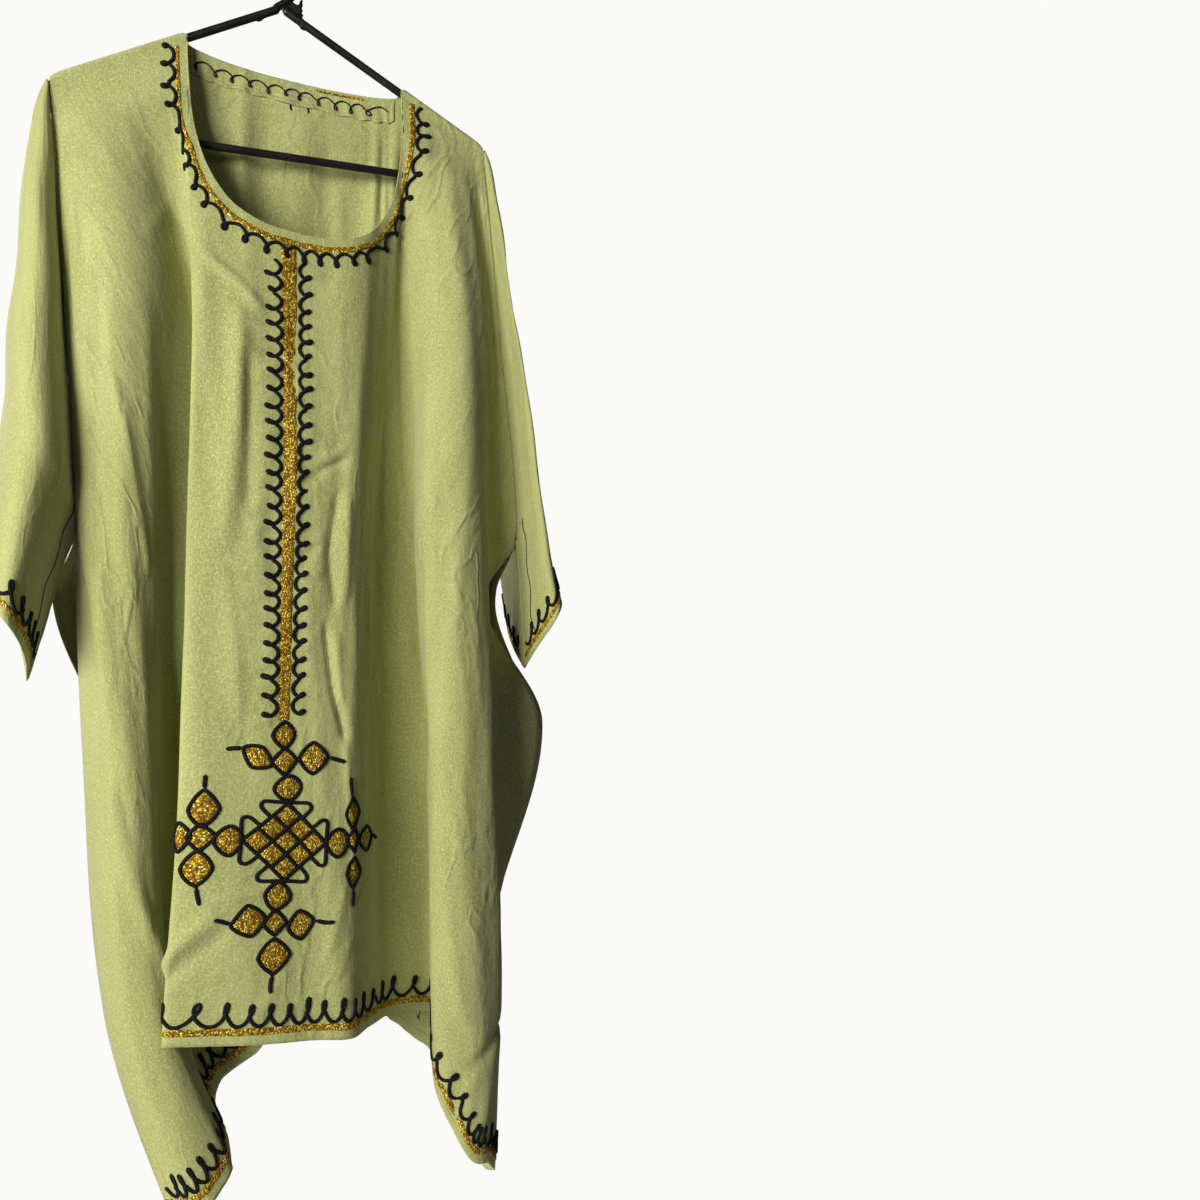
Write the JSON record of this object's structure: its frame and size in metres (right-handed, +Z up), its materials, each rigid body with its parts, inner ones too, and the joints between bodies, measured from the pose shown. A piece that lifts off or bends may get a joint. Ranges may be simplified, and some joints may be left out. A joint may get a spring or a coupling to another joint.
{
  "type": "embroidered dress on a plastic hanger",
  "caption": "Loose sage green dress with wide sleeves, black and gold embroidery and uneven hem, hanging open on a black hanger.",
  "frame": {"origin": "inside top of the hanger's hook, where the rail carries it", "axes": "+X along the hanger towards the dress's sleeve on the picture's right, -Y out of the dress's front, +Z up"},
  "size_m": [0.5496, 0.2164, 1.2527],
  "materials": {
    "cloth": "matte",
    "gold_braid": "metallic thread",
    "hanger_plastic": "satin"
  },
  "bodies": {
    "root": {"front_panel_left": "cloth", "front_panel_centre": "cloth", "front_panel_right": "cloth", "back_panel_left": "cloth", "back_panel_centre": "cloth", "back_panel_right": "cloth", "sleeve_left": "cloth", "sleeve_right": "cloth", "underarm_seam_left": "cloth", "underarm_seam_right": "cloth", "neck_facing": "cloth", "neck_braid_front": "gold_braid", "neck_braid_back": "gold_braid", "front_band": "gold_braid", "hem_braid_front": "gold_braid", "hem_braid_back": "gold_braid", "cuff_braid_left": "gold_braid", "cuff_braid_right": "gold_braid", "hanger": "hanger_plastic"}
  },
  "joints": []
}
